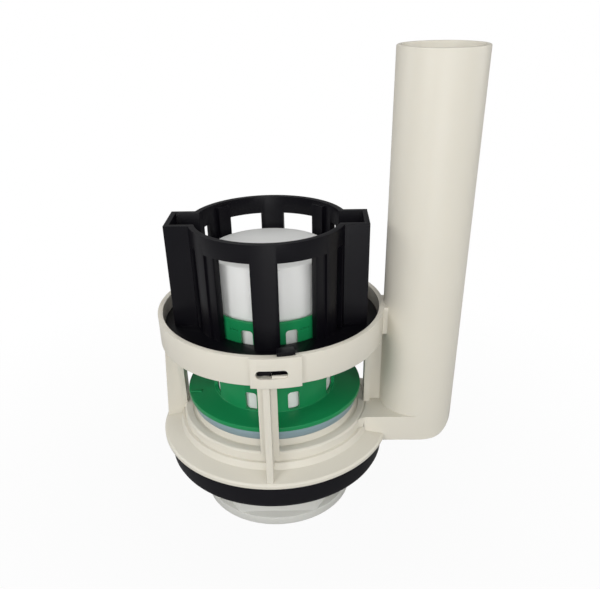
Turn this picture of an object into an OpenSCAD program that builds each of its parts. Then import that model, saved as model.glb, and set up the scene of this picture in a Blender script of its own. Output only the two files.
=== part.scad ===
// Toilet flush valve with a float poppet, a lift-out guide cage and a side overflow pipe.
// Millimetres, +Z up. Origin: centre of the flange underside, where the tank gasket seats.
// The front, with the bayonet slot, faces -Y. The overflow pipe stands at +X.

/* [Tank fixing] */
// Outer diameter of the threaded shank
shank_d = 59.8; // [56:0.1:62]
// Length of the shank below the flange
shank_len = 37.1; // [32:0.1:45]
// Bore of the outlet
outlet_d = 52; // [46:0.5:53]
// Outer diameter of the rubber tank gasket
gasket_d = 104.7; // [90:0.1:109]
// Height of the rubber tank gasket
gasket_h = 12.6; // [6:0.1:14]
// Width of the lock nut across its flats
nut_af = 64.4; // [63:0.1:70]
// Diameter of the lock nut's round rim
nut_d = 73.9; // [72:0.1:80]
// Height of the lock nut
nut_h = 18; // [12:0.5:24]
// Height of the round rim under the flats
nut_rim_h = 5; // [2:0.1:6]
// Angle that the nut is turned by, from the front
nut_turn = 1.9; // [0:0.1:60]
// Height of the bevel on the nut's upper corners
nut_bevel = 2; // [1:0.1:3]
// How far the nut reaches below the end of the shank
nut_drop = 0.5; // [0.2:0.1:2]
// Radial clearance between the thread crests and the nut
thread_clear = 0.1; // [0.05:0.01:0.3]

/* [Flange and seat] */
// Diameter of the flange
flange_d = 110; // [108:0.5:114]
// Height of the flange at its rim
rim_h = 3; // [2:0.1:4]
// Diameter of the wall that carries the seat
seat_wall_d = 88.4; // [86:0.1:92]
// Height of the lip on that wall
lip_z = 12.3; // [11:0.1:14]
// Width of the lip
lip_w = 3.7; // [2:0.1:4]
// Depth of the trough inside the lip
trough_depth = 0.5; // [0.3:0.1:1.5]
// Diameter of the seat bead, at its outer edge
bead_d = 77.2; // [74:0.1:78]
// Width of the seat bead
bead_w = 1.3; // [1:0.1:2.5]
// Height of the seat bead over the lip
bead_over_lip = 2.9; // [0.5:0.1:4]
// Height of the step around the foot of the seat wall
step_z = 7.7; // [5:0.1:9]
// Width of the step around the foot of the seat wall
step_w = 1.7; // [0.8:0.1:2]

/* [Overflow] */
// Outer diameter of the overflow pipe
pipe_d = 35; // [30:0.1:36]
// Wall of the overflow pipe and its duct
pipe_wall = 1.9; // [1.5:0.1:2.5]
// Gap between the pipe and the locking ring
pipe_gap = 0.05; // [0.05:0.05:1]
// Height of the pipe's mouth
pipe_top = 168.3; // [120:0.1:200]
// Height of the duct's underside, from the flange's
duct_z = -1; // [-2:0.1:2]
// Side wall of the duct
duct_wall = 1.5; // [1.2:0.1:2.5]
// Floor of the duct below the pipe
duct_floor = 2.8; // [2:0.1:3.5]
// Roof of the duct between pipe and seat
duct_roof = 2.4; // [1.8:0.1:3]
// Radius of the duct's lower outer corner
duct_corner = 10.5; // [6:0.5:12]
// Radius of the blend between duct and seat wall
duct_blend = 7; // [3:0.5:8]
// Gap between the duct and the tank gasket
duct_gap = 1.2; // [0.5:0.1:2]
// Clearance of the pipe's spigot in the duct
weld_clear = 0.1; // [0.05:0.01:0.2]

/* [Guide frame] */
// Outer diameter of the locking ring
ring_d = 101.7; // [100:0.1:103]
// Wall of the locking ring
ring_wall = 2.15; // [2:0.05:3]
// Height of the locking ring's underside
ring_z = 50.8; // [46:0.1:54]
// Height of the locking ring
ring_h = 12.9; // [10:0.1:15]
// Number of T-section posts
posts = 4; // [4:4:8]
// Width of a post's web
web_w = 8.1; // [5:0.1:10]
// Radial thickness of a post's web
web_t = 2.8; // [2:0.1:3.5]
// Thickness of a post's outer fin
fin_t = 2.8; // [1.6:0.1:3]
// How far a fin stands back from the flange edge
fin_set_back = 1.2; // [0.5:0.1:3]
// How far the webs stand out over the seat wall
web_over = 1.8; // [1:0.1:2.5]
// How far the webs reach down past the lip
web_foot = 1.2; // [0.5:0.1:3]
// Height of the ledge for the cage over the ring's underside
ledge_rise = 4; // [3:0.1:5]
// Width of the block that ties the ring to the pipe
tie_w = 14; // [8:0.5:20]
// How far the bayonet lug stands out from the ring
lug_out = 1.4; // [0.8:0.1:2]
// How far the lug reaches below the ring
lug_drop = 0.5; // [0.3:0.1:2]
// Angle of the lug's middle, from the front
lug_angle = 4.8; // [3.5:0.1:5.5]
// Angle that the lug spans
lug_span = 22.8; // [21:0.1:26]
// Height of the bayonet slot
slot_h = 3.85; // [3.4:0.05:4.5]
// Angle that the bayonet slot spans
slot_span = 14.2; // [13:0.1:15]
// Angle between the ends of lug and slot
slot_inset = 2.5; // [1.5:0.1:4]
// Height of the slot's floor over the ring's underside
slot_rise = 3.7; // [3:0.1:4.5]
// Depth of the bayonet groove behind the slot
groove_depth = 1.7; // [1.2:0.1:2]
// Height of the step in the slot's floor, on the right
slot_step = 1; // [0.6:0.1:1.4]
// Depth of the slot's outer recess over the step
slot_recess = 0.9; // [0.5:0.1:1.5]

/* [Cage] */
// Outer diameter of the cage
cage_d = 68; // [66:0.1:70]
// Wall of the cage
cage_wall = 2.55; // [2:0.05:3]
// Height of the cage's rim
cage_top = 103.2; // [95:0.1:110]
// Height of the band around the cage's rim
band_h = 7.7; // [5:0.1:10]
// Thickness of the cage's base flange
base_t = 2.5; // [2:0.1:3]
// Gap between the side channels' corners and the locking ring
channel_gap = 4.7; // [3:0.1:6]
// Outer width of the side channels
channel_w = 20.5; // [16:0.5:22]
// Wall of the side channels
channel_wall = 2.2; // [1.8:0.1:2.6]
// Half angle of the front and back posts
front_post = 9.3; // [6:0.1:11]
// Angle where the wide windows end
wide_end = 46.9; // [44:0.1:49]
// Angle where the narrow windows begin
narrow_start = 58.8; // [56:0.1:61]
// Angle where the narrow windows end
narrow_end = 68; // [63:0.5:69]
// Angle where the jamb ribs inside the side posts begin
jamb_start = 38.5; // [36:0.1:42]
// Angle where those jamb ribs end
jamb_end = 51; // [48:0.1:54]
// Angle where the turning tab begins, from the front
tab_start = 5.5; // [4:0.1:8]
// Angle that the turning tab spans
tab_span = 8.4; // [7:0.1:10]
// Thickness of the tab's lip over the ring
tab_t = 1.4; // [0.8:0.1:2]
// Angle that the cage turns through to unlock
twist = 10; // [8:0.5:12]
// How far the jamb ribs end below the cage's rim
rim_set_back = 1.5; // [1:0.1:4]
// Clearance between the base flange's hole and the poppet sleeve
guide_clear = 0.6; // [0.4:0.05:1]
// How far the jamb ribs stand back from the edge of that hole
jamb_set_back = 0.3; // [0.1:0.05:0.6]
// Clearance between the cage and the locking ring
ring_clear = 0.35; // [0.3:0.05:0.5]
// Clearance around the bayonet pegs
peg_clear = 0.3; // [0.2:0.05:0.5]

/* [Poppet] */
// Diameter of the poppet disc
disc_d = 82.4; // [79:0.1:83]
// Thickness of the poppet disc
disc_t = 2.3; // [1.4:0.1:3]
// Diameter of the silicone seal
seal_d = 81.2; // [79:0.1:84]
// Thickness of the silicone seal
seal_t = 5.6; // [4:0.1:9]
// Gap between the sleeve and the cage's wall
sleeve_gap = 2.4; // [2:0.1:3]
// Wall of the sleeve
sleeve_wall = 1.6; // [1.2:0.1:1.8]
// Height of the sleeve's rim
sleeve_top = 67.5; // [64:0.1:72]
// Diameter of the seal at its foot
seal_foot_d = 78.8; // [77:0.1:80]
// Angle of the windows next to the front and back
window_near = 19.2; // [17:0.1:22]
// Angle of the windows next to the sides
window_side = 68.5; // [64:0.5:72]
// Angle that the poppet is turned by
poppet_turn = 1.2; // [0:0.1:5]
// Distance of the upper windows from the sleeve's rim
window_drop = 4; // [3:0.1:6]
// Width of the windows next to the front and back
window_w = 5.4; // [4:0.1:7]
// Width of the windows next to the sides
side_window_w = 11.4; // [8:0.1:13]
// Height of a sleeve window
window_h = 9.2; // [6:0.1:10]
// Clearance between the sleeve and the upper part of the float
float_clear = 1.3; // [0.8:0.05:2]
// How far the lower part of the float stands out, behind the windows
float_step = 0.9; // [0.3:0.1:1.1]
// Distance of that step from the sleeve's rim
step_drop = 3; // [2:0.1:4]
// Wall of the float
float_wall = 1.6; // [1.2:0.1:2.2]
// Height of the float's top
float_top = 90; // [84:0.5:95]
// Thickness of the float's foot flange
foot_t = 1.8; // [1.4:0.1:2]
// Width of the float's foot flange
foot_w = 3.6; // [3:0.1:4]
// Gap between the seal and the seat bead at rest
seat_gap = 0.05; // [0.02:0.01:0.1]

/* [Hidden] */
$fn = 96;

// Overlap that lets a cut pass clear through a face
cut = 1;
// Small rounding on moulded edges
edge = 0.8;
// Clear of everything, for wedge shaped cuts
far = 200;
// How far a blend cuts into the face that it runs out on
bite = 0.1;
// Share of a radius at which stock that is cut away again begins
root = 0.7;
// Rise of the flange from its rim to the step
flange_rise = 1.6;
// Small rounding on the step and the bead
soft = 0.3;

ivory = "#d8d2c4";
black = "#1f1e22";
rubber = "#1b1a1e";
green = "#14723f";
white = "#d4d4d0";
silicone = "#91a3a3";

shank_r = shank_d / 2;
outlet_r = outlet_d / 2;
flange_r = flange_d / 2;
gasket_r = gasket_d / 2;
seat_wall_r = seat_wall_d / 2;
bead_r = bead_d / 2;
bead_z = lip_z + bead_over_lip;
mouth_r = bead_r - bead_w - outlet_r;
nut_z = -shank_len - nut_drop;

pipe_r = pipe_d / 2;
duct_ceiling = lip_z - duct_roof;

ring_r = ring_d / 2;
ring_in_r = ring_r - ring_wall;
pipe_x = ring_r + pipe_gap + pipe_r;
ring_top = ring_z + ring_h;
lug_r = ring_r + lug_out;
web_out_r = seat_wall_r + web_over;
web_in_r = web_out_r - web_t;
ledge_z = ring_z + ledge_rise;
lug_start = lug_angle - lug_span / 2;
slot_start = lug_start + slot_inset;
slot_z = ring_z + slot_rise;
groove_r = ring_in_r + groove_depth;
slot_w = 2 * lug_r * sin(slot_span / 2);
peg_angle = slot_start + slot_span / 4;

cage_r = cage_d / 2;
cage_in_r = cage_r - cage_wall;
base_z = ledge_z + peg_clear;
base_top = base_z + base_t;
band_z = cage_top - band_h;
base_r = ring_in_r - ring_clear;
sleeve_r = cage_in_r - sleeve_gap;
guide_r = sleeve_r + guide_clear;
jamb_r = guide_r + jamb_set_back;
channel_x = sqrt(pow(ring_in_r - channel_gap, 2) - pow(channel_w / 2, 2));
channel_in_x = channel_x - channel_wall;

seal_z = bead_z + seat_gap;
disc_z = seal_z + seal_t;
disc_top = disc_z + disc_t;
sleeve_in_r = sleeve_r - sleeve_wall;
float_r = sleeve_in_r - float_clear;
foot_z = seal_z - foot_t;

// Point at radius r, turned by angle a from the front towards +X
function polar(r, a) = [r * sin(a), -r * cos(a)];

// Flat ring
module ring_solid(r_in, r_out, z0, z1) {
    translate([0, 0, z0]) difference() {
        cylinder(r = r_out, h = z1 - z0);
        translate([0, 0, -cut]) cylinder(r = r_in, h = z1 - z0 + 2 * cut);
    }
}

// Wedge from the axis outwards between two angles
module wedge(a0, a1, z0, z1) {
    translate([0, 0, z0]) linear_extrude(z1 - z0)
        polygon([[0, 0], polar(far, a0), polar(far, (a0 + a1) / 2), polar(far, a1)]);
}

// Part of a flat ring between two angles
module arc_block(r_in, r_out, a0, a1, z0, z1) {
    intersection() {
        ring_solid(r_in, r_out, z0, z1);
        wedge(a0, a1, z0 - cut, z1 + cut);
    }
}

// Outline of flange and step, from the flange's underside up to the foot of the seat wall
step_r = seat_wall_r + step_w;
base_foot = [[flange_r - edge, 0], [flange_r, edge], [flange_r, rim_h - edge], [flange_r - edge, rim_h],
    [step_r + edge, rim_h + flange_rise], [step_r, step_z - soft], [step_r - soft, step_z], [seat_wall_r, step_z]];

// Half section of flange, seat wall and seat bead, to the right of the axis
module base_section() {
    bead_in_r = bead_r - bead_w;
    trough_z = lip_z - trough_depth;
    polygon(concat([[outlet_r, 0]], base_foot, [[seat_wall_r, lip_z - edge], [seat_wall_r - edge, lip_z],
        [seat_wall_r - lip_w, lip_z], [seat_wall_r - lip_w - soft, trough_z], [bead_r + soft, trough_z],
        [bead_r, bead_z], [bead_in_r, bead_z], [bead_in_r, bead_z - mouth_r], [outlet_r, bead_z - mouth_r]]));
    intersection() {
        translate([bead_in_r, bead_z - mouth_r]) circle(r = mouth_r);
        translate([outlet_r, bead_z - mouth_r]) square([mouth_r, mouth_r]);
    }
}

// Plan of the duct from the axis to the pipe, inset by the given wall
module duct_plan(x0, inset) {
    r = pipe_r - inset;
    translate([x0, -r]) square([pipe_x - x0, 2 * r]);
    translate([pipe_x, 0]) circle(r = r);
}

// Concave blend between the seat wall and the duct's side
module duct_blend_plan(side) {
    centre_y = pipe_r + duct_blend - bite;
    centre_x = sqrt(pow(seat_wall_r + duct_blend - bite, 2) - pow(centre_y, 2));
    difference() {
        polygon([[centre_x * root, side * centre_y * root], [centre_x, side * centre_y], [centre_x, 0],
            [centre_x * root, 0]]);
        translate([centre_x, side * centre_y]) circle(r = duct_blend);
    }
}

// Side view of the duct with its rounded lower corner
module duct_corner_cut(inset, z0, z1, radius) {
    x1 = pipe_x + pipe_r - inset + bite;
    translate([0, far / 2, 0]) rotate([90, 0, 0]) linear_extrude(far) {
        translate([0, z0 + radius]) square([x1, z1 - z0 - radius + cut]);
        translate([0, z0]) square([x1 - radius, radius]);
        intersection() {
            translate([x1 - radius, z0 + radius]) circle(r = radius);
            translate([x1 - radius, z0]) square([radius, radius]);
        }
    }
}

// Outside of the duct, without its passage
module duct_outside() {
    intersection() {
        translate([0, 0, duct_z]) {
            linear_extrude(lip_z - duct_z) duct_plan(bead_r * root, 0);
            for (side = [-1, 1]) linear_extrude(lip_z - duct_z) duct_blend_plan(side);
        }
        duct_corner_cut(0, duct_z, lip_z, duct_corner);
    }
}

// Water way from the pipe into the throat below the seat
module duct_passage() {
    floor_z = duct_z + duct_floor;
    intersection() {
        translate([0, 0, floor_z]) linear_extrude(duct_ceiling - floor_z)
            duct_plan(outlet_r * root, duct_wall);
        duct_corner_cut(duct_wall, floor_z, duct_ceiling, duct_ceiling - floor_z - bite);
    }
    translate([pipe_x, 0, duct_ceiling]) cylinder(r = pipe_r - pipe_wall / 2, h = duct_roof + cut);
}

// Space that the base takes up with its throat filled, for what stands against it
module base_space() {
    rotate_extrude() {
        base_section();
        square([seat_wall_r - lip_w / 2, lip_z + cut]);
    }
}

// The same space up to the full seat wall and under the flange, for the duct that meets it
module wall_space() {
    under_z = min(0, duct_z) - cut;
    under_r = gasket_r + duct_gap;
    rotate_extrude() polygon(concat([[0, under_z], [under_r, under_z], [under_r, 0]], base_foot,
        [[seat_wall_r, lip_z + cut], [0, lip_z + cut]]));
}

module valve_base() {
    color(ivory) difference() {
        rotate_extrude() base_section();
        duct_passage();
    }
}

module outlet_shank() {
    color(ivory) rotate_extrude()
        polygon([[outlet_r, -shank_len], [shank_r - edge, -shank_len], [shank_r, edge - shank_len], [shank_r, 0],
            [outlet_r, 0]]);
}

module overflow_duct() {
    color(ivory) difference() {
        duct_outside();
        wall_space();
        duct_passage();
    }
}

// T-section post that stands on lip and flange and carries the ring
module post(a) {
    web_half = asin(web_w / 2 / web_out_r);
    fin_in_r = web_out_r - web_t / 2;
    fin_foot_r = flange_r - fin_set_back;
    arc_block(web_in_r, web_out_r, a - web_half, a + web_half, lip_z - web_foot, ledge_z);
    rotate([0, 0, a]) translate([fin_t / 2, 0, 0]) rotate([90, 0, -90]) linear_extrude(fin_t)
        polygon([[fin_in_r, 0], [fin_foot_r, 0], [fin_foot_r, rim_h], [ring_r - soft, ring_z + soft],
            [ring_r - soft, ledge_z - bite], [fin_in_r, ledge_z - bite]]);
}

// Lug on the ring with the bayonet groove behind it and the slot through it
module lug_block() {
    arc_block(ring_in_r, lug_r, lug_start, lug_start + lug_span, ring_z - lug_drop, ring_top);
}

module lug_cut() {
    slot_mid = slot_start + slot_span / 2;
    slot_top = slot_z + slot_h;
    groove_room = 0.4;
    groove_end = peg_angle + twist + slot_span / 4;
    // groove for the peg, and the way in from above
    arc_block(ring_in_r - bite, groove_r, slot_start - groove_room, groove_end, slot_z - peg_clear,
        slot_top + peg_clear);
    arc_block(ring_in_r - bite, groove_r, groove_end - slot_span / 2 - groove_room, groove_end,
        slot_z - peg_clear, ring_top + cut);
    // slot through the lug, with a step in its floor on the right
    rotate([0, 0, slot_mid]) translate([0, 0, slot_z + slot_h / 2]) rotate([90, 0, 0]) {
        translate([0, 0, ring_in_r - cut]) linear_extrude(far) intersection() {
            slot_outline();
            union() {
                translate([-slot_w, -slot_h]) square([slot_w, 2 * slot_h]);
                translate([-slot_w, slot_step - slot_h / 2]) square([2 * slot_w, slot_h]);
            }
        }
        translate([0, 0, lug_r - slot_recess]) linear_extrude(far) slot_outline();
    }
}

// Slot with round ends, seen from the front
module slot_outline() {
    reach = (slot_w - slot_h) / 2;
    square([2 * reach, slot_h], center = true);
    for (side = [-1, 1]) translate([side * reach, 0]) circle(d = slot_h);
}

// Block that ties the ring to the pipe
module pipe_tie() {
    translate([ring_in_r, -tie_w / 2, ring_z]) cube([pipe_x - ring_in_r - pipe_r / 2, tie_w, ring_h]);
}

module guide_frame() {
    color(ivory) difference() {
        union() {
            ring_solid(ring_in_r, ring_r, ring_z, ring_top);
            for (a = [0, 180]) rotate([0, 0, a]) lug_block();
            for (i = [0 : posts - 1]) post(i * 360 / posts);
            difference() {
                pipe_tie();
                translate([0, 0, ring_z - cut]) cylinder(r = ring_in_r, h = ring_h + 2 * cut);
            }
        }
        for (a = [0, 180]) rotate([0, 0, a]) lug_cut();
        base_space();
        duct_outside();
        translate([pipe_x, 0, 0]) cylinder(r = pipe_r, h = pipe_top);
    }
}

module overflow_pipe() {
    color(ivory) translate([pipe_x, 0, 0]) rotate_extrude()
        polygon([[pipe_r - pipe_wall, duct_ceiling], [pipe_r - pipe_wall / 2 - weld_clear, duct_ceiling],
            [pipe_r - pipe_wall / 2 - weld_clear, lip_z], [pipe_r, lip_z], [pipe_r, pipe_top - edge / 2],
            [pipe_r - edge / 2, pipe_top], [pipe_r - pipe_wall + edge / 2, pipe_top],
            [pipe_r - pipe_wall, pipe_top - edge / 2]]);
}

module tank_gasket() {
    hole_r = shank_r + thread_clear;
    color(rubber) rotate_extrude()
        polygon([[hole_r, -gasket_h], [gasket_r - 2 * edge, -gasket_h], [gasket_r - edge, edge - gasket_h],
            [gasket_r, -edge], [gasket_r, 0], [hole_r, 0]]);
}

module lock_nut() {
    corner_r = nut_d / 2 - soft;
    color(white) translate([0, 0, nut_z]) rotate([0, 0, nut_turn]) difference() {
        union() {
            intersection() {
                cylinder(r = nut_af / sqrt(3), h = nut_h, $fn = 6);
                rotate_extrude() polygon([[0, 0], [corner_r, 0], [corner_r, nut_h - nut_bevel],
                    [corner_r - nut_bevel, nut_h], [0, nut_h]]);
            }
            rotate_extrude() polygon([[0, 0], [nut_d / 2 - edge, 0], [nut_d / 2, edge], [nut_d / 2, nut_rim_h],
                [0, nut_rim_h]]);
        }
        translate([0, 0, -cut]) cylinder(r = shank_r + thread_clear, h = nut_h + 2 * cut);
    }
}

// Rib inside a side post
module jamb() {
    arc_block(jamb_r, cage_r - edge, jamb_start, jamb_end, base_z + base_t / 2, cage_top - rim_set_back);
}

// Side channel, open at the top and towards the axis
module channel_outside() {
    translate([cage_in_r * root, -channel_w / 2, base_z])
        cube([channel_x - cage_in_r * root, channel_w, cage_top - base_z]);
}

module channel_inside() {
    inner_w = channel_w - 2 * channel_wall;
    translate([guide_r * root, -inner_w / 2, base_top])
        cube([channel_in_x - guide_r * root, inner_w, cage_top - base_top + cut]);
}

// Windows of one quarter of the cage, from the front towards +X
module quarter_windows() {
    wedge(front_post, wide_end, base_top, band_z);
    wedge(narrow_start, narrow_end, base_top, band_z);
}

// The four quarters of the cage
module quarters() {
    for (flip_x = [0, 1], flip_y = [0, 1]) mirror([flip_x, 0, 0]) mirror([0, flip_y, 0]) children();
}

// Tab on the base flange that reaches over the ring, to turn the cage by
module turn_tab() {
    over_z = ring_top + peg_clear;
    tab_end = tab_start + tab_span;
    arc_block(base_r - channel_wall, base_r, tab_start, tab_end, base_z + base_t / 2, over_z + tab_t);
    arc_block(base_r - channel_wall, ring_r - soft, tab_start, tab_end, over_z, over_z + tab_t);
}

module guide_cage() {
    peg_half = slot_span / 4 - asin(peg_clear / groove_r);
    color(black) {
        difference() {
            union() {
                difference() {
                    ring_solid(cage_in_r, cage_r, base_z, cage_top);
                    quarters() intersection() {
                        quarter_windows();
                        translate([0, -far / 2, 0]) cube(far);
                    }
                }
                for (side = [0, 1]) mirror([side, 0, 0]) difference() {
                    channel_outside();
                    translate([0, 0, base_z - cut]) cylinder(r = cage_in_r, h = cage_top - base_z + 2 * cut);
                }
                quarters() jamb();
                ring_solid(guide_r, base_r, base_z, base_top);
                for (a = [0, 180]) rotate([0, 0, a])
                    arc_block(base_r - cut, groove_r - peg_clear, peg_angle - peg_half, peg_angle + peg_half,
                        base_z, base_top);
                turn_tab();
            }
            for (side = [0, 1]) mirror([side, 0, 0]) channel_inside();
        }
    }
}

// Cut for a window through the sleeve, at an angle from the front
module sleeve_window(a, z, w) {
    rotate([0, 0, a]) translate([0, -root * sleeve_r, z]) rotate([90, 0, 0])
        linear_extrude(sleeve_r) square([w, window_h], center = true);
}

module poppet_collar() {
    rows = [disc_top + edge / 2 + window_h / 2, sleeve_top - window_drop - window_h / 2];
    disc_r = disc_d / 2;
    color(green) difference() {
        rotate_extrude() polygon([[sleeve_in_r, disc_z], [disc_r - edge / 2, disc_z], [disc_r, disc_z + edge / 2],
            [disc_r, disc_top - edge / 2], [disc_r - edge / 2, disc_top], [sleeve_r + edge / 2, disc_top],
            [sleeve_r, disc_top + edge / 2], [sleeve_r, sleeve_top - edge / 2], [sleeve_r - edge / 2, sleeve_top],
            [sleeve_in_r, sleeve_top]]);
        for (z = rows, half = [0, 180], side = [-1, 1]) rotate([0, 0, poppet_turn + half]) {
            sleeve_window(side * window_near, z, window_w);
            sleeve_window(side * window_side, z, side_window_w);
        }
    }
}

module poppet_seal() {
    r = seal_d / 2;
    foot_r = seal_foot_d / 2;
    color(silicone) rotate_extrude()
        polygon([[sleeve_in_r, seal_z], [foot_r - edge, seal_z], [foot_r, seal_z + edge], [r, disc_z - edge],
            [r - edge / 2, disc_z], [sleeve_in_r, disc_z]]);
}

module float_cup() {
    inner_r = float_r - float_wall;
    low_r = float_r + float_step;
    color(white) difference() {
        rotate_extrude()
            polygon([[0, foot_z], [float_r + foot_w, foot_z], [float_r + foot_w, seal_z], [low_r, seal_z],
                [low_r, sleeve_top - step_drop - float_step], [float_r, sleeve_top - step_drop],
                [float_r, float_top - edge], [float_r - edge, float_top], [0, float_top]]);
        translate([0, 0, foot_z - cut]) cylinder(r = inner_r, h = float_top - float_wall - foot_z + cut);
    }
}

valve_base();
outlet_shank();
guide_frame();
overflow_duct();
overflow_pipe();
tank_gasket();
lock_nut();
guide_cage();
poppet_collar();
poppet_seal();
float_cup();
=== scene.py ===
import math

import bpy
from mathutils import Euler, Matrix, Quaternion, Vector


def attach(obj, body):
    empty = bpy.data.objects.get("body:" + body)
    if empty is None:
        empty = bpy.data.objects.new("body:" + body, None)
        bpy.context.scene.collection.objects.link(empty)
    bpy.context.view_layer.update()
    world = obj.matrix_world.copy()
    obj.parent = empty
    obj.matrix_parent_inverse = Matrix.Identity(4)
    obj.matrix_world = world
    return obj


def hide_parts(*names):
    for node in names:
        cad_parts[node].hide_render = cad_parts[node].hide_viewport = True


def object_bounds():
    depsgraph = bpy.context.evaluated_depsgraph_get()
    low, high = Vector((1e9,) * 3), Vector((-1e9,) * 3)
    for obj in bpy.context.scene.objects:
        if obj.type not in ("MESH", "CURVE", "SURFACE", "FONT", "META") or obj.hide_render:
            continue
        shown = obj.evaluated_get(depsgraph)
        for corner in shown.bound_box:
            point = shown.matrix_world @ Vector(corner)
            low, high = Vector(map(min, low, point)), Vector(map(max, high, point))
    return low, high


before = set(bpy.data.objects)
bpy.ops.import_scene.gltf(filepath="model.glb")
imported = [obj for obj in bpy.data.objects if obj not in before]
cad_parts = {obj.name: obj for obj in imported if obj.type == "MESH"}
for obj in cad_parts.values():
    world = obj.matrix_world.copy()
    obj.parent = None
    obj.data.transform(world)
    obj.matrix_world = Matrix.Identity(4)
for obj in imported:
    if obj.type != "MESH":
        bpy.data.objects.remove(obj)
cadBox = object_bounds()
mm = 0.001

# the photograph is a crop, so its centre lies above the lens axis;
# place in millimetres, angles in radians, nearest in metres
camera = {
    "imageSize": (600, 589),
    "focalPixels": 656.7,
    "sensorWidth": 36.0,
    "shiftUp": 0.12,
    "place": (20.07, -271.58, 189.56),
    "pitchDown": 0.5316,
    "yawLeft": 0.0283,
    "roll": -0.0219,
    "nearest": 0.01,
}


def addCamera():
    bpy.ops.object.select_all(action="DESELECT")
    bpy.ops.object.camera_add(location=[value * mm for value in camera["place"]])
    shot = bpy.context.object
    shot.name = "photoCamera"
    shot.data.sensor_fit = "HORIZONTAL"
    shot.data.sensor_width = camera["sensorWidth"]
    shot.data.lens = camera["focalPixels"] * camera["sensorWidth"] / camera["imageSize"][0]
    shot.data.shift_y = camera["shiftUp"]
    shot.data.clip_start = camera["nearest"]
    aim = Euler((math.pi / 2 - camera["pitchDown"], 0, camera["yawLeft"])).to_quaternion()
    shot.rotation_mode = "QUATERNION"
    shot.rotation_quaternion = aim @ Quaternion((0, 0, 1), camera["roll"])
    bpy.context.scene.camera = shot


addCamera()
print("camera placed")

# soft studio: a box in front, a key at each side of it, strips at the sides, weak ones above and behind;
# metres and watts
white = (1, 1, 1, 1)
studio = {
    "floorSize": 6.0,
    "floorColour": (0.45, 0.45, 0.45, 1),
    "washNear": 0.945,
    "washFrom": 0.07,
    "washTo": 0.26,
    "sideGlow": 0.35,
    "sideFrom": 0.10,
    "sideTo": 0.22,
    "ambient": 0.20,
    "lamps": [
        {"name": "frontBox", "place": (0.12, -1.05, 0.36), "size": 0.55, "watts": 5.1},
        {"name": "leftKey", "place": (-0.64, -0.86, 0.70), "size": 0.42, "watts": 5.8},
        {"name": "rightKey", "place": (0.80, -0.80, 0.70), "size": 0.42, "watts": 3.2},
        {"name": "leftStrip", "place": (-0.98, 0.12, 0.40), "size": 0.45, "watts": 2.4},
        {"name": "rightStrip", "place": (1.02, 0.14, 0.40), "size": 0.45, "watts": 2.2},
        {"name": "overheadBox", "place": (0.00, 0.10, 1.05), "size": 0.80, "watts": 1.4},
        {"name": "backBox", "place": (-0.25, 0.70, 1.15), "size": 0.60, "watts": 3.2},
    ],
    "aim": (0.01, 0.0, 0.05),
}


def addLamp(spec):
    bpy.ops.object.select_all(action="DESELECT")
    bpy.ops.object.light_add(type="AREA", location=spec["place"])
    lamp = bpy.context.object
    lamp.name = spec["name"]
    lamp.data.shape = "SQUARE"
    lamp.data.size = spec["size"]
    lamp.data.energy = spec["watts"]
    towards = Vector(studio["aim"]) - Vector(spec["place"])
    lamp.rotation_euler = towards.to_track_quat("-Z", "Y").to_euler()


def seenDirectly(nodes, links):
    # 1 for rays from the camera, also through clear pieces
    path = nodes.new("ShaderNodeLightPath")
    direct = nodes.new("ShaderNodeMath")
    direct.operation = "MAXIMUM"
    links.new(path.outputs["Is Camera Ray"], direct.inputs[0])
    links.new(path.outputs["Is Transmission Ray"], direct.inputs[1])
    return direct.outputs[0]


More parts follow.
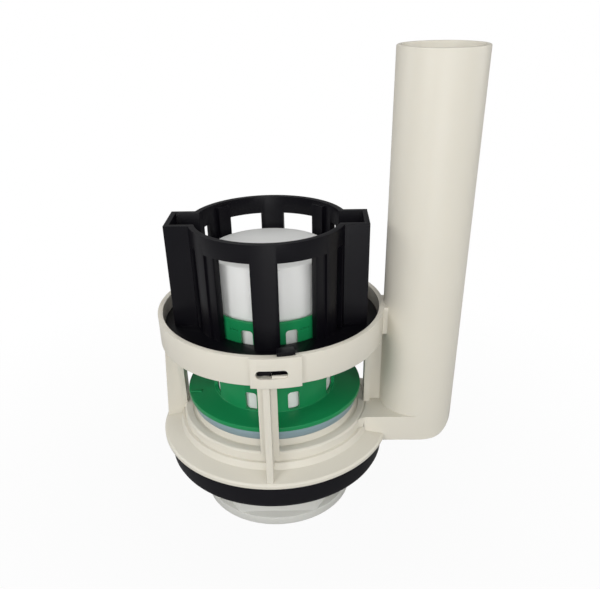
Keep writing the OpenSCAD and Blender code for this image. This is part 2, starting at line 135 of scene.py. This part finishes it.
def addStudio():
    floorLevel = cadBox[0][2]
    bpy.ops.object.select_all(action="DESELECT")
    bpy.ops.mesh.primitive_plane_add(size=studio["floorSize"], location=(0, 0, floorLevel))
    floor = bpy.context.object
    floor.name = "studioFloor"
    paint = bpy.data.materials.new("floorPaper")
    paint.use_nodes = True
    nodes, links = paint.node_tree.nodes, paint.node_tree.links
    nodes.clear()
    matt = nodes.new("ShaderNodeBsdfDiffuse")
    matt.inputs["Color"].default_value = studio["floorColour"]
    glow = nodes.new("ShaderNodeEmission")
    glow.inputs["Color"].default_value = white
    # the paper is washed out to white away from the object, as in the photograph
    spot = nodes.new("ShaderNodeTexCoord")
    reach = nodes.new("ShaderNodeVectorMath")
    reach.operation = "LENGTH"
    links.new(spot.outputs["Object"], reach.inputs[0])
    wash = nodes.new("ShaderNodeMapRange")
    wash.inputs["From Min"].default_value = studio["washFrom"]
    wash.inputs["From Max"].default_value = studio["washTo"]
    wash.inputs["To Min"].default_value = studio["washNear"]
    wash.inputs["To Max"].default_value = 1.0
    links.new(reach.outputs["Value"], wash.inputs["Value"])
    share = nodes.new("ShaderNodeMath")
    share.operation = "MULTIPLY"
    links.new(seenDirectly(nodes, links), share.inputs[0])
    links.new(wash.outputs[0], share.inputs[1])
    # shiny pieces mirror the bright paper to their left and right
    apart = nodes.new("ShaderNodeSeparateXYZ")
    links.new(spot.outputs["Object"], apart.inputs[0])
    aside = nodes.new("ShaderNodeMath")
    aside.operation = "ABSOLUTE"
    links.new(apart.outputs["X"], aside.inputs[0])
    bright = nodes.new("ShaderNodeMapRange")
    bright.inputs["From Min"].default_value = studio["sideFrom"]
    bright.inputs["From Max"].default_value = studio["sideTo"]
    bright.inputs["To Max"].default_value = studio["sideGlow"]
    links.new(aside.outputs[0], bright.inputs["Value"])
    path = nodes.new("ShaderNodeLightPath")
    mirrored = nodes.new("ShaderNodeMath")
    mirrored.operation = "MULTIPLY_ADD"
    links.new(path.outputs["Is Glossy Ray"], mirrored.inputs[0])
    links.new(bright.outputs[0], mirrored.inputs[1])
    links.new(share.outputs[0], mirrored.inputs[2])
    both = nodes.new("ShaderNodeMixShader")
    links.new(mirrored.outputs[0], both.inputs["Fac"])
    links.new(matt.outputs[0], both.inputs[1])
    links.new(glow.outputs[0], both.inputs[2])
    out = nodes.new("ShaderNodeOutputMaterial")
    links.new(both.outputs[0], out.inputs["Surface"])
    floor.data.materials.append(paint)

    world = bpy.data.worlds.new("studioWorld")
    bpy.context.scene.world = world
    world.use_nodes = True
    nodes, links = world.node_tree.nodes, world.node_tree.links
    nodes.clear()
    backdrop = nodes.new("ShaderNodeBackground")
    backdrop.inputs["Color"].default_value = white
    level = nodes.new("ShaderNodeMapRange")
    level.inputs["To Min"].default_value = studio["ambient"]
    level.inputs["To Max"].default_value = 1.0
    links.new(seenDirectly(nodes, links), level.inputs["Value"])
    links.new(level.outputs[0], backdrop.inputs["Strength"])
    out = nodes.new("ShaderNodeOutputWorld")
    links.new(backdrop.outputs[0], out.inputs["Surface"])
    for spec in studio["lamps"]:
        addLamp(spec)
    bpy.context.scene.view_settings.view_transform = "Standard"


addStudio()
print("studio lit")


# shared finish: the faint cloud and grain of a moulded surface
noise = {"cloudDetail": 3.0, "grainDetail": 2.0, "middle": 0.5, "grainHeight": 0.0002}


def buildMouldSkin():
    group = bpy.data.node_groups.new("mouldSkin", "ShaderNodeTree")
    sockets = group.interface
    sockets.new_socket("Colour", in_out="INPUT", socket_type="NodeSocketColor")
    for name in ("Cloud", "Cloud Size", "Grain Size", "Roughness", "Roughness Spread"):
        sockets.new_socket(name, in_out="INPUT", socket_type="NodeSocketFloat")
    sockets.new_socket("Colour", in_out="OUTPUT", socket_type="NodeSocketColor")
    sockets.new_socket("Roughness", in_out="OUTPUT", socket_type="NodeSocketFloat")
    sockets.new_socket("Height", in_out="OUTPUT", socket_type="NodeSocketFloat")
    nodes, links = group.nodes, group.links
    given = nodes.new("NodeGroupInput")
    made = nodes.new("NodeGroupOutput")
    place = nodes.new("ShaderNodeTexCoord")
    cloud = nodes.new("ShaderNodeTexNoise")
    cloud.inputs["Detail"].default_value = noise["cloudDetail"]
    links.new(place.outputs["Object"], cloud.inputs["Vector"])
    links.new(given.outputs["Cloud Size"], cloud.inputs["Scale"])
    grain = nodes.new("ShaderNodeTexNoise")
    grain.inputs["Detail"].default_value = noise["grainDetail"]
    links.new(place.outputs["Object"], grain.inputs["Vector"])
    links.new(given.outputs["Grain Size"], grain.inputs["Scale"])
    # colour gets a little lighter and darker with the cloud
    centred = nodes.new("ShaderNodeMath")
    centred.operation = "SUBTRACT"
    links.new(cloud.outputs["Fac"], centred.inputs[0])
    centred.inputs[1].default_value = noise["middle"]
    swing = nodes.new("ShaderNodeMath")
    swing.operation = "MULTIPLY_ADD"
    links.new(centred.outputs[0], swing.inputs[0])
    links.new(given.outputs["Cloud"], swing.inputs[1])
    swing.inputs[2].default_value = 1.0
    tint = nodes.new("ShaderNodeHueSaturation")
    links.new(given.outputs["Colour"], tint.inputs["Color"])
    links.new(swing.outputs[0], tint.inputs["Value"])
    links.new(tint.outputs["Color"], made.inputs["Colour"])
    rough = nodes.new("ShaderNodeMath")
    rough.operation = "MULTIPLY_ADD"
    links.new(centred.outputs[0], rough.inputs[0])
    links.new(given.outputs["Roughness Spread"], rough.inputs[1])
    links.new(given.outputs["Roughness"], rough.inputs[2])
    links.new(rough.outputs[0], made.inputs["Roughness"])
    links.new(grain.outputs["Fac"], made.inputs["Height"])
    return group


mouldSkin = buildMouldSkin()

# subsurface radii in metres
finishes = {
    "ivoryPlastic": {"colour": (0.640, 0.610, 0.530), "rough": 0.42, "spread": 0.10, "cloud": 0.04,
                     "cloudSize": 35, "grainSize": 2200, "bump": 0.03, "specular": 0.35, "subsurface": 0.06,
                     "subsurfaceRadius": (0.0030, 0.0024, 0.0018)},
    "blackPlastic": {"colour": (0.0026, 0.0023, 0.0040), "rough": 0.34, "spread": 0.12, "cloud": 0.25,
                     "cloudSize": 60, "grainSize": 2600, "bump": 0.04, "specular": 0.17, "subsurface": 0.0,
                     "subsurfaceRadius": (0.001, 0.001, 0.001)},
    "gasketRubber": {"colour": (0.0042, 0.0038, 0.0060), "rough": 0.55, "spread": 0.15, "cloud": 0.35,
                     "cloudSize": 90, "grainSize": 1800, "bump": 0.10, "specular": 0.16, "subsurface": 0.0,
                     "subsurfaceRadius": (0.001, 0.001, 0.001)},
    "naturalNut": {"colour": (0.580, 0.580, 0.545), "rough": 0.42, "spread": 0.10, "cloud": 0.06,
                   "cloudSize": 45, "grainSize": 2000, "bump": 0.04, "specular": 0.40, "subsurface": 0.35,
                   "subsurfaceRadius": (0.0040, 0.0040, 0.0036)},
    "greenPlastic": {"colour": (0.0085, 0.2150, 0.0715), "rough": 0.32, "spread": 0.08, "cloud": 0.10,
                     "cloudSize": 50, "grainSize": 2400, "bump": 0.03, "specular": 0.22, "subsurface": 0.10,
                     "subsurfaceRadius": (0.0006, 0.0020, 0.0008)},
    "sealSilicone": {"colour": (0.228, 0.325, 0.366), "rough": 0.38, "spread": 0.08, "cloud": 0.06,
                     "cloudSize": 60, "grainSize": 1500, "bump": 0.02, "specular": 0.35, "subsurface": 0.4,
                     "subsurfaceRadius": (0.0030, 0.0034, 0.0036)},
    "floatPlastic": {"colour": (0.800, 0.805, 0.785), "rough": 0.38, "spread": 0.08, "cloud": 0.04,
                     "cloudSize": 40, "grainSize": 2200, "bump": 0.02, "specular": 0.35, "subsurface": 0.25,
                     "subsurfaceRadius": (0.0040, 0.0040, 0.0038)},
}


def mixFinish(name):
    spec = finishes[name]
    material = bpy.data.materials.new(name)
    material.use_nodes = True
    nodes, links = material.node_tree.nodes, material.node_tree.links
    shader = nodes["Principled BSDF"]
    skin = nodes.new("ShaderNodeGroup")
    skin.node_tree = mouldSkin
    skin.inputs["Colour"].default_value = (*spec["colour"], 1)
    skin.inputs["Cloud"].default_value = spec["cloud"]
    skin.inputs["Cloud Size"].default_value = spec["cloudSize"]
    skin.inputs["Grain Size"].default_value = spec["grainSize"]
    skin.inputs["Roughness"].default_value = spec["rough"]
    skin.inputs["Roughness Spread"].default_value = spec["spread"]
    bump = nodes.new("ShaderNodeBump")
    bump.inputs["Strength"].default_value = spec["bump"]
    bump.inputs["Distance"].default_value = noise["grainHeight"]
    links.new(skin.outputs["Height"], bump.inputs["Height"])
    links.new(skin.outputs["Colour"], shader.inputs["Base Color"])
    links.new(skin.outputs["Roughness"], shader.inputs["Roughness"])
    links.new(bump.outputs["Normal"], shader.inputs["Normal"])
    shader.inputs["Specular IOR Level"].default_value = spec["specular"]
    shader.inputs["Subsurface Weight"].default_value = spec["subsurface"]
    shader.inputs["Subsurface Radius"].default_value = spec["subsurfaceRadius"]
    shader.inputs["Subsurface Scale"].default_value = 1.0
    return material


materials = {name: mixFinish(name) for name in finishes}
print("finishes mixed")

# weld in millimetres, angles in degrees
easing = {"weld": 0.002, "flatAngle": 0.5, "sharpAngle": 32, "segments": 3, "smoothAngle": 36}


def startPiece(name, finish):
    piece = bpy.context.object
    piece.name = name
    piece.data.materials.clear()
    piece.data.materials.append(materials[finish])
    return piece


def easeEdges(piece, width):
    bevel = piece.modifiers.new("easedEdges", "BEVEL")
    bevel.width = width * mm
    bevel.segments = easing["segments"]
    bevel.limit_method = "ANGLE"
    bevel.angle_limit = math.radians(easing["sharpAngle"])
    bevel.miter_outer = "MITER_ARC"
    bpy.ops.object.modifier_apply(modifier=bevel.name)


def settlePiece(piece, spec, nodeName=None):
    if spec["ease"] > 0:
        easeEdges(piece, spec["ease"])
    bpy.ops.object.shade_smooth_by_angle(angle=math.radians(easing["smoothAngle"]))
    if spec.get("evenNormals"):
        even = piece.modifiers.new("evenNormals", "WEIGHTED_NORMAL")
        even.keep_sharp = True
        bpy.ops.object.modifier_apply(modifier=even.name)
    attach(piece, spec["body"])
    if nodeName:
        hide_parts(nodeName)


# one point at the origin, to be drawn out into a profile in edit mode
def startPoint():
    bpy.ops.object.select_all(action="DESELECT")
    bpy.ops.mesh.primitive_plane_add(size=mm)
    bpy.ops.object.mode_set(mode="EDIT")
    bpy.ops.mesh.select_all(action="SELECT")
    bpy.ops.mesh.merge(type="CENTER")


def drawProfile(points):
    bpy.ops.transform.translate(value=points[0])
    for before, after in zip(points, points[1:]):
        bpy.ops.mesh.extrude_region_move(TRANSFORM_OT_translate={"value": after - before})
    bpy.ops.mesh.select_all(action="SELECT")


# turned pieces: radius and height of the section in millimetres, around an axis at axisX
turned = {
    "overflow_pipe": {
        "piece": "overflowPipe", "body": "valve_body", "slot": "ivory_plastic", "finish": "ivoryPlastic",
        "axisX": 68.4, "steps": 112, "ease": 0,
        "section": [(15.6, 9.9), (16.4, 9.9), (16.4, 12.3), (17.5, 12.3), (17.5, 167.85), (17.37, 168.17),
                    (17.05, 168.3), (16.05, 168.3), (15.73, 168.17), (15.6, 167.85)]},
    "tank_gasket": {
        "piece": "tankGasket", "body": "valve_body", "slot": "gasket_rubber", "finish": "gasketRubber",
        "axisX": 0, "steps": 160, "ease": 0.7,
        "section": [(30, -12.6), (51.2, -12.6), (52.2, -10.4), (52.35, 0), (30, 0)]},
    "poppet_seal": {
        "piece": "poppetSeal", "body": "poppet", "slot": "seal_silicone", "finish": "sealSilicone",
        "axisX": 0, "steps": 144, "ease": 0.35,
        "section": [(27.45, 15.25), (38.6, 15.25), (39.4, 16.05), (40.6, 20.15), (40.3, 20.85),
                    (27.45, 20.85)]},
    "float_cup": {
        "piece": "floatCup", "body": "poppet", "slot": "float_plastic", "finish": "floatPlastic",
        "axisX": 0, "steps": 128, "ease": 0.8,
        "section": [(24.55, 13.45), (29.75, 13.45), (29.75, 15.25), (27.05, 15.25), (27.05, 63.6),
                    (26.15, 64.5), (26.15, 90), (0, 90), (0, 88.4), (24.55, 88.4)]},
    "outlet_shank": {
        "piece": "outletShank", "body": "valve_body", "slot": "ivory_plastic", "finish": "ivoryPlastic",
        "axisX": 0, "steps": 96, "ease": 0.3,
        "section": [(26, -37.1), (28.4, -37.1), (28.4, -1.2), (29.9, -1.2), (29.9, 0), (26, 0)]},
}


def turnPiece(nodeName, spec):
    startPoint()
    axis = spec["axisX"]
    section = spec["section"] + spec["section"][:1]
    drawProfile([Vector((axis + radius, 0, height)) * mm for radius, height in section])
    bpy.ops.mesh.spin(steps=spec["steps"], angle=2 * math.pi, center=(axis * mm, 0, 0), axis=(0, 0, 1))
    bpy.ops.mesh.select_all(action="SELECT")
    bpy.ops.mesh.remove_doubles(threshold=easing["weld"] * mm)
    # a section that touches the axis leaves an edge there
    bpy.ops.mesh.delete_loose()
    bpy.ops.mesh.select_all(action="SELECT")
    bpy.ops.mesh.normals_make_consistent(inside=False)
    bpy.ops.object.mode_set(mode="OBJECT")
    piece = startPiece(spec["piece"], spec["finish"])
    settlePiece(piece, spec, nodeName)
    return piece


for nodeName, spec in turned.items():
    turnPiece(nodeName, spec)
print("turned pieces made")

# the collar's windows have round corners; angles in degrees from the front, sizes in millimetres
collar = {
    "piece": "poppetCollar", "body": "poppet", "slot": "green_plastic", "finish": "greenPlastic",
    "axisX": 0, "steps": 160, "ease": 0.35,
    "section": [(27.45, 20.85), (41.2, 20.85), (41.2, 23.15), (29.05, 23.15), (29.05, 67.5), (27.45, 67.5)],
    "turn": 1.2, "wallRadius": 28.25, "cutDepth": 7.0, "windowHeight": 9.2, "rows": (28.15, 58.9),
    "windows": [(-68.5, 11.4), (-19.2, 5.4), (19.2, 5.4), (68.5, 11.4)],
    "cornerRadius": 1.5, "cornerSegments": 6,
    "slitAngle": 31.0, "slitRadius": 29.05, "slitLevel": 63.2, "slitSize": (4.4, 1.2, 0.9), "slitCorner": 0.3,
    "padReach": (33.8, 39.2), "padForward": 10.6, "padWidth": 2.2, "padHeight": (22.9, 23.55),
    "padEase": 0.25,
}


def addCutter(size, cornerRadius, angle, radius, level):
    bpy.ops.object.select_all(action="DESELECT")
    bpy.ops.mesh.primitive_cube_add(size=1)
    cutter = bpy.context.object
    cutter.scale = [value * mm for value in size]
    bpy.ops.object.transform_apply(location=False, rotation=False, scale=True)
    corners = cutter.modifiers.new("roundCorners", "BEVEL")
    corners.width = cornerRadius * mm
    corners.segments = collar["cornerSegments"]
    corners.limit_method = "WEIGHT"
    # only the edges that run through the wall are rounded
    weights = cutter.data.attributes.new("bevel_weight_edge", "FLOAT", "EDGE")
    for edge in cutter.data.edges:
        start, end = [cutter.data.vertices[index].co for index in edge.vertices]
        weights.data[edge.index].value = 1.0 if abs(start.y - end.y) > size[1] / 2 * mm else 0.0
    bpy.ops.object.modifier_apply(modifier=corners.name)
    turn = math.radians(angle)
    cutter.location = (radius * mm * math.sin(turn), -radius * mm * math.cos(turn), level * mm)
    cutter.rotation_euler = (0, 0, turn)
    return cutter


def cutCollar():
    piece = turnPiece("poppet_collar", collar)
    cutters = []
    for half in (0, 180):
        turn = half + collar["turn"]
        for level in collar["rows"]:
            for angle, width in collar["windows"]:
                size = (width, collar["cutDepth"], collar["windowHeight"])
                cutters.append(addCutter(size, collar["cornerRadius"], angle + turn, collar["wallRadius"],
                                         level))
        for side in (-1, 1):
            angle = side * collar["slitAngle"] + turn
            cutters.append(addCutter(collar["slitSize"], collar["slitCorner"], angle, collar["slitRadius"],
                                     collar["slitLevel"]))
    for cutter in cutters:
        cutter.select_set(True)
    bpy.ops.object.join()
    windows = bpy.context.object
    bpy.ops.object.select_all(action="DESELECT")
    piece.select_set(True)
    bpy.context.view_layer.objects.active = piece
    opening = piece.modifiers.new("windows", "BOOLEAN")
    opening.operation = "DIFFERENCE"
    opening.object = windows
    bpy.ops.object.modifier_apply(modifier=opening.name)
    bpy.ops.object.shade_smooth_by_angle(angle=math.radians(easing["smoothAngle"]))
    bpy.ops.object.select_all(action="DESELECT")
    windows.select_set(True)
    bpy.ops.object.delete()


# low pad on the disc, at the left
def addPad():
    near, far = collar["padReach"]
    low, high = collar["padHeight"]
    middle = Vector((-(near + far) / 2, -collar["padForward"], (low + high) / 2))
    bpy.ops.object.select_all(action="DESELECT")
    bpy.ops.mesh.primitive_cube_add(size=1, location=middle * mm)
    pad = startPiece("discPad", collar["finish"])
    pad.scale = ((far - near) * mm, collar["padWidth"] * mm, (high - low) * mm)
    bpy.ops.object.transform_apply(location=True, rotation=False, scale=True)
    settlePiece(pad, {"ease": collar["padEase"], "body": collar["body"], "slot": collar["slot"]})


cutCollar()
addPad()
print("collar cut")

# two inch pipe thread, eleven turns to the inch, on the shank; millimetres
thread = {"piece": "shankThread", "finish": "ivoryPlastic",
          "pitch": 2.309, "turns": 15, "steps": 48, "foot": -36.0, "root": 28.2, "crest": 29.85,
          "rootHalf": 1.05, "crestHalf": 0.28, "endSides": 8}


def cutThread():
    startPoint()
    foot, root, crest = thread["foot"], thread["root"], thread["crest"]
    section = [(root, -thread["rootHalf"]), (crest, -thread["crestHalf"]), (crest, thread["crestHalf"]),
               (root, thread["rootHalf"]), (root, -thread["rootHalf"])]
    drawProfile([Vector((radius, 0, foot + rise)) * mm for radius, rise in section])
    bpy.ops.mesh.remove_doubles(threshold=easing["weld"] * mm)
    bpy.ops.object.mode_set(mode="OBJECT")
    ridge = startPiece(thread["piece"], thread["finish"])
    sweep = ridge.modifiers.new("helix", "SCREW")
    sweep.axis = "Z"
    sweep.screw_offset = thread["pitch"] * mm
    sweep.iterations = thread["turns"]
    sweep.steps = thread["steps"]
    sweep.render_steps = thread["steps"]
    sweep.use_smooth_shade = False
    bpy.ops.object.modifier_apply(modifier=sweep.name)
    bpy.ops.object.mode_set(mode="EDIT")
    bpy.ops.mesh.select_all(action="SELECT")
    bpy.ops.mesh.fill_holes(sides=thread["endSides"])
    bpy.ops.mesh.select_all(action="SELECT")
    bpy.ops.mesh.normals_make_consistent(inside=False)
    bpy.ops.object.mode_set(mode="OBJECT")
    bpy.ops.object.shade_smooth_by_angle(angle=math.radians(easing["smoothAngle"]))
    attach(ridge, "valve_body")


cutThread()
print("thread cut")

# the moulded pieces keep the solids' shape, with the edges eased as a mould leaves them;
# their flat faces are split along planes through the axis, at these angles from the front
moulded = {
    "valve_base": {
        "piece": "seatBase", "body": "valve_body", "slot": "ivory_plastic", "finish": "ivoryPlastic",
        "ease": 0.35, "splits": (0, 90)},
    "guide_frame": {
        "piece": "guideFrame", "body": "valve_body", "slot": "ivory_plastic", "finish": "ivoryPlastic",
        "ease": 0.30, "splits": (0, 45, 90, 135)},
    "overflow_duct": {
        "piece": "overflowDuct", "body": "valve_body", "slot": "ivory_plastic", "finish": "ivoryPlastic",
        "ease": 0, "splits": (90,), "evenNormals": True},
    "lock_nut": {
        "piece": "lockNut", "body": "nut", "slot": "nut_plastic", "finish": "naturalNut",
        "ease": 0.12, "splits": (0, 90), "foot": {"level": -37.6, "radius": 36.15, "rise": 0.8}},
    "guide_cage": {
        "piece": "guideCage", "body": "cage", "slot": "black_plastic", "finish": "blackPlastic",
        "ease": 0.30, "splits": (0, 49, 90, 131)},
}


# draws the corners of the flats in to the slope at the foot of the round rim
def tuckCorners(piece, foot):
    for vertex in piece.data.vertices:
        above = vertex.co.z / mm - foot["level"]
        reach = vertex.co.xy.length / mm
        allowed = foot["radius"] + above
        if above < foot["rise"] and reach > allowed:
            vertex.co.x *= allowed / reach
            vertex.co.y *= allowed / reach


def easeNode(nodeName, spec):
    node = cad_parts[nodeName]
    bpy.ops.object.select_all(action="DESELECT")
    node.select_set(True)
    bpy.context.view_layer.objects.active = node
    bpy.ops.object.duplicate()
    piece = startPiece(spec["piece"], spec["finish"])
    # the copy starts without the node's own marks
    for key in list(piece.keys()):
        del piece[key]
    if "foot" in spec:
        tuckCorners(piece, spec["foot"])
    bpy.ops.object.mode_set(mode="EDIT")
    bpy.ops.mesh.select_all(action="SELECT")
    bpy.ops.mesh.remove_doubles(threshold=easing["weld"] * mm)
    for angle in spec["splits"]:
        turn = math.radians(angle)
        bpy.ops.mesh.select_all(action="SELECT")
        bpy.ops.mesh.bisect(plane_co=(0, 0, 0), plane_no=(math.cos(turn), math.sin(turn), 0))
        bpy.ops.mesh.mark_seam(clear=False)
    bpy.ops.mesh.select_all(action="SELECT")
    bpy.ops.mesh.dissolve_limited(angle_limit=math.radians(easing["flatAngle"]), delimit={"SEAM"})
    bpy.ops.object.mode_set(mode="OBJECT")
    settlePiece(piece, spec, nodeName)


for nodeName, spec in moulded.items():
    easeNode(nodeName, spec)
print("moulded pieces eased")

# ribs under the cage's base flange, black behind the right half of the bayonet slots
ribs = {"piece": "slotRibs", "body": "cage", "slot": "black_plastic", "finish": "blackPlastic", "ease": 0.2,
        "angle": 6.7, "width": 6.2, "reach": (46.3, 48.0), "height": (52.9, 55.3)}


def addRibs():
    near, far = ribs["reach"]
    low, high = ribs["height"]
    radius, level = (near + far) / 2 * mm, (low + high) / 2 * mm
    blocks = []
    for half in (0, 180):
        turn = math.radians(ribs["angle"] + half)
        bpy.ops.object.select_all(action="DESELECT")
        bpy.ops.mesh.primitive_cube_add(size=1, rotation=(0, 0, turn),
                                        location=(radius * math.sin(turn), -radius * math.cos(turn), level))
        block = bpy.context.object
        block.scale = (ribs["width"] * mm, (far - near) * mm, (high - low) * mm)
        bpy.ops.object.transform_apply(location=True, rotation=True, scale=True)
        blocks.append(block)
    for block in blocks:
        block.select_set(True)
    bpy.ops.object.join()
    settlePiece(startPiece(ribs["piece"], ribs["finish"]), ribs)


addRibs()
print("ribs added")
